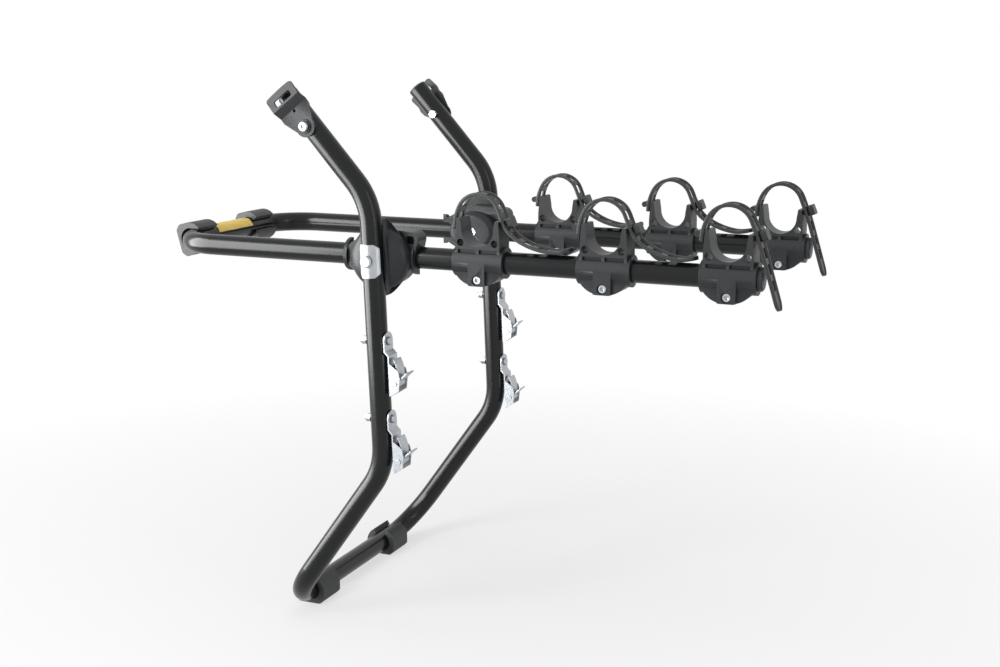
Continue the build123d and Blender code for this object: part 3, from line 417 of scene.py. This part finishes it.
# Rubber straps: each starts this far (x, z) from the arm's middle under its cup, goes over the
# cup to the knob of its cradle, and ends in a free tail
STRAP_START = (-34.0 * MM, 41.2 * MM)
STRAP_HEADING = radians(86.0)
STRAP_OVER_CUP = [straight(7.4), arc(60, -22), arc(29, -132), straight(16)]
STRAP_TAILS = {
    1: [arc(45, 37), arc(100, 30), arc(43, 16), straight(1)],
    2: [arc(45, 36.5), arc(100, 24), arc(43, 18), straight(1)],
    3: [arc(300, -5), straight(57)],
}
STRAP_HALF_WIDTH = 12.0 * MM
STRAP_HALF_THICKNESS = 2.25 * MM
STRAP_RIM = 3.2 * MM
STRAP_RIM_SLOPE = 0.8 * MM
STRAP_RECESS = 1.3 * MM
STRAP_HEAD = 3.0 * MM
STRAP_HEAD_SHARE = 0.82
STRAP_TIP = 0.999
STRAP_STEP = 3.5 * MM
STRAP_COLUMNS = np.array([12.0, 11.2, 9.6, 8.8, 7.9, 7.0, 3.5]) * MM
WINDOW_HALF_WIDTH = 7.0 * MM
WINDOW_HALF_LENGTH = 6.0 * MM
WINDOW_EDGE = 1.2 * MM
WINDOW_PITCH = 20.1 * MM
T_PEG = 9.3 * MM
T_PEG_SWELL = 0.25
T_PEG_SWELL_REACH = 9.0 * MM
KNOB = sum(run for run, turn in STRAP_OVER_CUP) + 4.2 * MM


def window_spans(length):
    """The start and end of each window along the strap.

    They lie a pitch apart, counted from the knob, and the first is drawn out to the T peg.
    """
    before = int((KNOB - T_PEG) / WINDOW_PITCH)
    after = int((length - KNOB - 2 * WINDOW_HALF_LENGTH) / WINDOW_PITCH)
    middles = [KNOB + count * WINDOW_PITCH for count in range(-before, after + 1)]
    spans = [(middle - WINDOW_HALF_LENGTH, middle + WINDOW_HALF_LENGTH) for middle in middles]
    first = (T_PEG - WINDOW_HALF_LENGTH, spans[0][1])
    return [first, *spans[1:]]


def strap_piece(number, name):
    """A ladder strap: a flat band with raised rims and rounded windows, swept along its line.

    The band's width is its full width times the root of 1 - t^2 in its round tail, where t runs
    from 0 to almost 1 across the end, and more at its head. Its thickness is half inside the
    line and half outside, 1 + swell * e^-((s - peg) / reach)^2 times as much there, less the
    recess between the rims. Cells that lie in a window are left out and get walls round them.
    """
    side = SIDES[name]
    spans = STRAP_OVER_CUP + STRAP_TAILS[number]
    length = sum(run for run, turn in spans) + STRAP_HALF_WIDTH
    windows = window_spans(length - STRAP_HALF_WIDTH)
    stops = {0.0, length}
    for low, high in windows:
        stops |= {low - WINDOW_EDGE, low, high, high + WINDOW_EDGE}
    stops |= set(length - STRAP_HALF_WIDTH * (1 - np.sin(np.linspace(0, pi / 2, 7))))
    stops |= set(STRAP_HEAD * np.linspace(0, 1, 4))
    fixed = np.array(sorted(stop for stop in stops if 0 <= stop <= length))
    lines = [fixed[:1]]
    for low, high in zip(fixed[:-1], fixed[1:]):
        lines.append(np.linspace(low, high, int((high - low) / STRAP_STEP) + 2)[1:])
    along = np.concatenate(lines)
    across = np.concatenate([-STRAP_COLUMNS, [0.0], STRAP_COLUMNS[::-1]])
    tail = np.clip((along - (length - STRAP_HALF_WIDTH)) / STRAP_HALF_WIDTH, 0, STRAP_TIP)
    head = np.clip(1 - along / STRAP_HEAD, 0, STRAP_TIP)
    head_width = STRAP_HEAD_SHARE + (1 - STRAP_HEAD_SHARE) * np.sqrt(1 - head**2)
    width = np.sqrt(1 - tail**2) * head_width
    middle = (along[:-1] + along[1:]) / 2
    in_window = np.any([(middle > low) & (middle < high) for low, high in windows], axis=0)
    cell_across = np.abs(across[:-1] + across[1:]) / 2
    keep = ~(in_window[:, None] & (cell_across < WINDOW_HALF_WIDTH)[None, :])
    x, z, angle = follow(STRAP_START, STRAP_HEADING, spans, along)
    inside_rim = STRAP_HALF_WIDTH - np.abs(across) - STRAP_RIM
    recess = STRAP_RECESS * np.clip(inside_rim / STRAP_RIM_SLOPE, 0, 1)
    swell = T_PEG_SWELL * np.exp(-(((along - T_PEG) / T_PEG_SWELL_REACH) ** 2))
    thick = STRAP_HALF_THICKNESS * (1 + swell)

    def surface(height):
        """The band's points this far out from its middle surface."""
        grid_x = x[:, None] - np.sin(angle)[:, None] * height
        grid_z = z[:, None] + np.cos(angle)[:, None] * height
        grid_y = across[None, :] * width[:, None] + np.zeros_like(height)
        where = np.stack([grid_x, grid_y, grid_z], axis=-1)
        return where + PIVOT + np.array([CRADLE_DISTANCES[number - 1], side * ARM_SIDE, 0])

    outer = surface(thick[:, None] - recess[None, :])
    rows, columns = len(along), len(across)
    inner = surface(np.full((rows, columns), -STRAP_HALF_THICKNESS))
    under = rows * columns
    index = np.arange(under).reshape(rows, columns)
    a, b, c, d = index[:-1, :-1], index[1:, :-1], index[1:, 1:], index[:-1, 1:]
    quads = [np.stack([a, b, c, d], -1)[keep], np.stack([a, d, c, b], -1)[keep] + under]
    around = np.pad(keep, 1)
    walls = (
        (around[:-2, 1:-1], a, d),
        (around[2:, 1:-1], c, b),
        (around[1:-1, :-2], b, a),
        (around[1:-1, 2:], d, c),
    )
    for neighbour, first, second in walls:
        wall = np.stack([first, second, second + under, first + under], -1)
        quads.append(wall[keep & ~neighbour])
    points = np.concatenate([outer.reshape(-1, 3), inner.reshape(-1, 3)])
    faces = np.concatenate(quads).tolist()
    node = f"strap_{number}_{name}"
    piece = add_piece(f"{node}_rubber", points, faces, "strap_rubber", "arms", node, smooth=180)
    subdivide(piece, 2)


for number in (1, 2, 3):
    for name in SIDES:
        strap_piece(number, name)

# Rubber pads on the two crossbars
PAD_LENGTH = 47.0 * MM
PAD_ROOM = 14.6 * MM
PAD_SOLE = 19.8 * MM
PAD_SOLE_HALF_WIDTH = 16.5 * MM
PAD_SOLE_EDGE = 6.5 * MM
PAD_RADIUS = 23.5 * MM
PAD_ARM_DROP = 1.0 * MM
PAD_ARM_REACH = radians(150.0)
PAD_LIP = 1.6 * MM
PAD_ROWS = 13
PAD_COLUMNS = 101
PAD_EDGES = {"width": 1.0 * MM, "segments": 3, "angle": 50.0}

# The lines of a pad's outline meet near this distance, and as sharply as this to the metre;
# the slanted one counts up to the turn with this cosine
PAD_MIDDLE = 20.0 * MM
PAD_SHARPNESS = 1400.0
PAD_SLANT_END = -0.2
FAR = 1.0
TINY = 1e-3


def pad_outer(turn):
    """How far the pad's outside lies from the tube's centre, at an angle from the sole's way.

    It is the nearest of the sole, at sole / cos a; the line from the sole's edge to the flank;
    and the arms: the straight flank at radius / sin a on the sole's half, and on the other half
    a circle that is moved by d, at d cos a + root(r^2 - d^2 sin^2 a). A soft minimum joins
    them: m - log(sum of e^-(k (one - m))) / k.
    """
    cosine = np.cos(turn)
    sine = np.abs(np.sin(turn))
    sole = PAD_SOLE / np.maximum(cosine, TINY)
    run = PAD_RADIUS - PAD_SOLE_HALF_WIDTH
    reach = PAD_SOLE_HALF_WIDTH * PAD_SOLE_EDGE + PAD_SOLE * run
    slant = reach / np.maximum(sine * PAD_SOLE_EDGE + cosine * run, TINY)
    slant = np.where(cosine > PAD_SLANT_END, slant, FAR)
    flank = PAD_RADIUS / np.maximum(sine, TINY)
    circle = PAD_ARM_DROP * cosine + np.sqrt(PAD_RADIUS**2 - (PAD_ARM_DROP * sine) ** 2)
    arms = np.where(cosine > 0, flank, circle)
    near = sum(np.exp(-PAD_SHARPNESS * (one - PAD_MIDDLE)) for one in (sole, slant, arms))
    return PAD_MIDDLE - np.log(near) / PAD_SHARPNESS


def pad_piece(node, body, bar, corner, bend, past, side, sole_way, bend_way):
    """A clip-on pad: one straight moulding whose bore follows the bar round its bend.

    At each place along the bar the bore is a circle moved by the bend's drift d, so its wall
    lies at d cos(a - b) + root(r^2 - d^2 sin^2(a - b)) from the bar's axis, with b the way of
    the drift, and never nearer than the bore of the straight part. The bend of radius R has
    drifted by R - root(R^2 - s^2) at s past its corner.
    """
    end = corner + past
    stops = np.linspace(end - PAD_LENGTH, end, PAD_ROWS)
    drift = bend - np.sqrt(bend**2 - np.maximum(stops - corner, 0) ** 2)
    y_way = np.array([0, side, 0.0])
    side_way = np.cross(sole_way, y_way)
    bend_turn = np.arctan2(bend_way @ side_way, bend_way @ sole_way)
    turn = np.linspace(-PAD_ARM_REACH, PAD_ARM_REACH, PAD_COLUMNS)
    outer = np.broadcast_to(pad_outer(turn), (len(stops), len(turn)))
    gap = turn[None, :] - bend_turn
    ahead = drift[:, None] * np.cos(gap)
    aside = drift[:, None] * np.sin(gap)
    moved = ahead + np.sqrt(PAD_ROOM**2 - aside**2)
    inner = np.minimum(np.maximum(moved, PAD_ROOM), outer - PAD_LIP)
    centre = bar + stops[:, None] * y_way
    way = np.cos(turn)[:, None] * sole_way + np.sin(turn)[:, None] * side_way
    outside = centre[:, None, :] + outer[..., None] * way
    inside = centre[:, None, :] + inner[..., None] * way
    points = np.concatenate([outside, inside[:, ::-1]], axis=1)
    rows, columns = points.shape[:2]
    index = np.arange(rows * columns).reshape(rows, columns)
    after = np.roll(index, -1, axis=1)
    quads = np.stack([index[:-1], after[:-1], after[1:], index[1:]], -1).reshape(-1, 4)
    half = columns // 2
    ends = []
    for row in (index[0], index[-1, ::-1]):
        mate = row[::-1]
        cap = [row[: half - 1], mate[: half - 1], mate[1:half], row[1:half]]
        ends.append(np.stack(cap, -1))
    faces = np.concatenate([quads, *ends]).tolist()
    piece = add_piece(f"{node}_rubber", points, faces, "pad_rubber", body, node, smooth=30)
    soften(piece, **PAD_EDGES)


FOOT_CORNER = 119.5 * MM
FOOT_BEND = 68.0 * MM
FOOT_PAST = 12.0 * MM
REST_CORNER = 77.0 * MM
REST_BEND = 66.0 * MM
REST_PAST = {"left": 28.0 * MM, "right": 15.0 * MM}
REST_TILT = radians(15.0)
DOWN = np.array([0, 0, -1.0])
OUT = np.array([1.0, 0, 0])
leg_way = np.array([cos(FOOT_LEG_ANGLE), 0, sin(FOOT_LEG_ANGLE)])
rest_way = np.array([-cos(REST_TILT), 0, -sin(REST_TILT)])
for name, side in SIDES.items():
    pad_piece(
        f"foot_pad_{name}", "upright", FOOT_BAR, FOOT_CORNER, FOOT_BEND, FOOT_PAST, side,
        sole_way=DOWN, bend_way=leg_way,
    )
    pad_piece(
        f"rest_pad_{name}", "arms", REST_BAR, REST_CORNER, REST_BEND, REST_PAST[name], side,
        sole_way=rest_way, bend_way=OUT,
    )

# Hub cups; the powers shape their outline's points, the dome and the leaf's sides
POINT_POWER = 8
DOME_POWER = 2.6
LEAF_POWER = 2.4
CUP_FACE = 163.5 * MM
CUP_RADIUS = 42.0 * MM
CUP_RIM = 2.5 * MM
CUP_POINT_BACK = 1.7 * MM
CUP_DOME = 19.0 * MM
CUP_LEAF_UP = 12.0 * MM
CUP_LEAF_DOWN = 8.0 * MM
CUP_LEAF_HALF_WIDTH = 19.5 * MM
CUP_LEAF_TAPER = 0.75
CUP_LEAF_DEPTH = 23.0 * MM
CUP_LEAF_DROOP = 5.0 * MM
CUP_LEAF_FALL = 4.0 * MM
LEG_ROOM = 14.45 * MM
TEETH = 36
TOOTH_RING = 33.0 * MM
TOOTH_HALF_LENGTH = 5.5 * MM
TOOTH_HALF_WIDTH = 1.2 * MM
TOOTH_ROOT = 0.4 * MM
TOOTH_TIP = -1.4 * MM
BOX_FACES = np.array([
    [0, 1, 2, 3], [7, 6, 5, 4], [0, 4, 5, 1], [1, 5, 6, 2], [2, 6, 7, 3], [3, 7, 4, 0],
])


def cup_piece(name):
    """A hub cup: a dome and a leaf-shaped saddle with the leg's trough, over the toothed plate.

    Its outline is a circle drawn out into two points along the leg: radius + point * sin^8.
    The height over the plate is the larger of the dome, rim + depth * root(1 - r^2.6), and the
    leaf, depth - droop * v^3, which narrows by its taper times v^2.4 and falls to the rim at
    its edge along 1 - 3 t^2 + 2 t^3. The leg cuts the trough, and each tooth is a small box.
    The points' flat backs lie a little under the rim's height, clear of the housing's collars.
    """
    side = SIDES[name]
    turn = np.linspace(0, 2 * pi, 193)[:-1]
    share = np.concatenate([np.linspace(0, 0.9, 46), np.linspace(0.92, 1, 9)])
    point_up = CUP_LEAF_UP * np.maximum(np.sin(turn), 0) ** POINT_POWER
    point_down = CUP_LEAF_DOWN * np.maximum(-np.sin(turn), 0) ** POINT_POWER
    edge = CUP_RADIUS + point_up + point_down
    radius = share[:, None] * edge[None, :]
    u = radius * np.cos(turn)
    v = radius * np.sin(turn)
    dome_share = np.maximum(1 - (radius / CUP_RADIUS) ** DOME_POWER, 0)
    dome = CUP_RIM + CUP_DOME * np.sqrt(dome_share)
    leaf_reach = np.where(v > 0, CUP_RADIUS + CUP_LEAF_UP, CUP_RADIUS + CUP_LEAF_DOWN)
    leaf_share = np.clip(np.abs(v) / leaf_reach, 0, 1)
    leaf_edge = CUP_LEAF_HALF_WIDTH * (1 - CUP_LEAF_TAPER * leaf_share**LEAF_POWER)
    fall = np.clip((np.abs(u) - leaf_edge) / CUP_LEAF_FALL, 0, 1)
    leaf_top = CUP_LEAF_DEPTH - CUP_LEAF_DROOP * leaf_share**3
    leaf = leaf_top * (1 - fall**2 * (3 - 2 * fall)) + CUP_RIM * fall
    height = np.maximum(dome, leaf)
    trough = LEG_SIDE - CUP_FACE - np.sqrt(np.maximum(LEG_ROOM**2 - u**2, 0))
    height = np.where(np.abs(u) < LEG_ROOM, np.minimum(height, trough), height)
    height[-1] = np.minimum(height[-1], CUP_RIM)

    def placed(u, v, out):
        """Points from u square to the leg, v up along it, and out from the toothed face."""
        x = PIVOT[0] + u * cos(LEG_LEAN) - v * sin(LEG_LEAN)
        z = PIVOT[2] + u * sin(LEG_LEAN) + v * cos(LEG_LEAN)
        return np.stack([x, side * (CUP_FACE + out), z], -1)

    rim_u = CUP_RADIUS * np.cos(turn)[None, :]
    rim_v = CUP_RADIUS * np.sin(turn)[None, :]
    level = np.zeros_like(rim_u)
    point_back = placed(u[-1:], v[-1:], CUP_POINT_BACK + level)
    under = placed(rim_u, rim_v, CUP_POINT_BACK + level)
    back = placed(rim_u, rim_v, level)
    grid = np.concatenate([placed(u, v, height), point_back, under, back])
    rows, columns = grid.shape[:2]
    index = np.arange(rows * columns).reshape(rows, columns)
    after = np.roll(index, -1, axis=1)
    quads = np.stack([index[1:-1], index[2:], after[2:], after[1:-1]], -1).reshape(-1, 4)
    fan = np.stack([index[0], index[1], after[1]], -1)
    faces = quads.tolist() + fan.tolist() + [index[-1].tolist()]
    points = grid.reshape(-1, 3)
    step = 2 * pi / TEETH * np.arange(TEETH)
    corner_r = TOOTH_RING + TOOTH_HALF_LENGTH * np.array([-1, 1, 1, -1] * 2)
    corner_t = TOOTH_HALF_WIDTH * np.array([-1, -1, 1, 1] * 2)
    corner_out = np.array([TOOTH_ROOT] * 4 + [TOOTH_TIP] * 4)
    tooth_u = corner_r * np.cos(step)[:, None] - corner_t * np.sin(step)[:, None]
    tooth_v = corner_r * np.sin(step)[:, None] + corner_t * np.cos(step)[:, None]
    teeth = placed(tooth_u, tooth_v, np.broadcast_to(corner_out, tooth_u.shape)).reshape(-1, 3)
    first_corners = len(points) + 8 * np.arange(TEETH)
    tooth_faces = (first_corners[:, None, None] + BOX_FACES).reshape(-1, 4)
    points = np.concatenate([points, teeth])
    faces = faces + tooth_faces.tolist()
    node = f"hub_cup_{name}"
    add_piece(f"{node}_moulding", points, faces, "hub_plastic", "upright", node, smooth=38)


for name in SIDES:
    cup_piece(name)

# Pale floor that fades into a white surround
FLOOR_RADIUS = 2.2
FLOOR_MIDDLE = (0.2, 0.0)
FLOOR_GAP = 0.5 * MM
WHITE = (1, 1, 1, 1)
ROOM = (0.16, 0.165, 0.17, 1)
FADE_NEAR = 0.72
FADE_START = 0.5
FADE_LENGTH = 3.0


def floor_finish():
    """Matt pale floor; seen directly it fades to white away from the carrier."""
    paint = Paint("studio_floor")
    cloud = paint.noise(scale=3.0, detail=3.0)
    paint.finish(paint.mixed(cloud, grey(0.86), grey(0.89)), 0.9)
    place = paint.place()
    away = paint.node("ShaderNodeVectorMath", {"operation": "LENGTH"}, place, output="Value")
    fade = (FADE_NEAR + (away - FADE_START) / FADE_LENGTH).clamped()
    white = paint.node("ShaderNodeEmission", {}, WHITE)
    shaded = Value(paint, paint.shader.outputs[0])
    factor = fade * paint.seen_or_mirrored()
    both = paint.node("ShaderNodeMixShader", {}, factor, shaded, white)
    output = next(node for node in paint.tree.nodes if node.type == "OUTPUT_MATERIAL")
    paint.put(output.inputs["Surface"], both)
    return paint.material


floor_mesh = bpy.data.meshes.new("floor")
ring = np.linspace(0, 2 * pi, 97)[:-1]
floor_points = np.stack([np.cos(ring), np.sin(ring), 0 * ring], -1) * FLOOR_RADIUS
floor_mesh.from_pydata(floor_points.tolist(), [], [list(range(len(ring)))])
floor = bpy.data.objects.new("floor", floor_mesh)
floor.location = (*FLOOR_MIDDLE, cad_box[0].z - FLOOR_GAP)
bpy.context.scene.collection.objects.link(floor)
floor_mesh.materials.append(floor_finish())

# White surround for the camera and for reflections, and a dim, even room for the shades
world = bpy.data.worlds.new("studio")
bpy.context.scene.world = world
world.use_nodes = True
world.node_tree.nodes.clear()
studio = Nodes(world.node_tree)
dim = studio.node("ShaderNodeBackground", {}, ROOM)
white = studio.node("ShaderNodeBackground", {}, WHITE)
either = studio.node("ShaderNodeMixShader", {}, studio.seen_or_mirrored(), dim, white)
surround = studio.tree.nodes.new("ShaderNodeOutputWorld")
studio.put(surround.inputs["Surface"], either)


def softbox(name, place, aim, width, height, power, diffuse=True, glossy=True):
    """A soft rectangular lamp that faces a point, for the shades, the reflections or both."""
    lamp = bpy.data.lights.new(name, "AREA")
    lamp.shape = "RECTANGLE"
    lamp.size = width
    lamp.size_y = height
    lamp.energy = power
    lit = bpy.data.objects.new(name, lamp)
    lit.location = place
    way = Vector(aim) - Vector(place)
    lit.rotation_euler = way.to_track_quat("-Z", "Y").to_euler()
    lit.visible_diffuse = diffuse
    lit.visible_glossy = glossy
    bpy.context.scene.collection.objects.link(lit)


MIDDLE = (0.2, 0.0, 0.42)
UPPER_BENDS = (0.10, 0.07, 0.87)
softbox("reflector_left", (-1.14, -0.85, 0.87), UPPER_BENDS, 1.6, 1.7, 105, diffuse=False)
softbox("tall_box_left", (-0.85, -2.25, 1.25), MIDDLE, 0.6, 2.4, 50, glossy=False)
softbox("tall_box_right", (2.6, -1.2, 1.2), MIDDLE, 0.35, 2.0, 9)
softbox("ceiling", (0.3, -0.4, 2.9), MIDDLE, 2.6, 2.6, 30, glossy=False)
softbox("front", (1.3, -2.9, 1.2), MIDDLE, 2.0, 1.4, 14, glossy=False)

# Camera, solved from the photograph's parallel tubes
lens = bpy.data.cameras.new("camera")
lens.lens = 50.4
lens.sensor_width = 36.0
camera = bpy.data.objects.new("camera", lens)
camera.location = (0.9951, -1.7640, 0.7770)
camera.rotation_euler = (radians(78.55), 0.0, radians(23.16))
bpy.context.scene.collection.objects.link(camera)
bpy.context.scene.camera = camera
bpy.context.scene.view_settings.view_transform = "Standard"
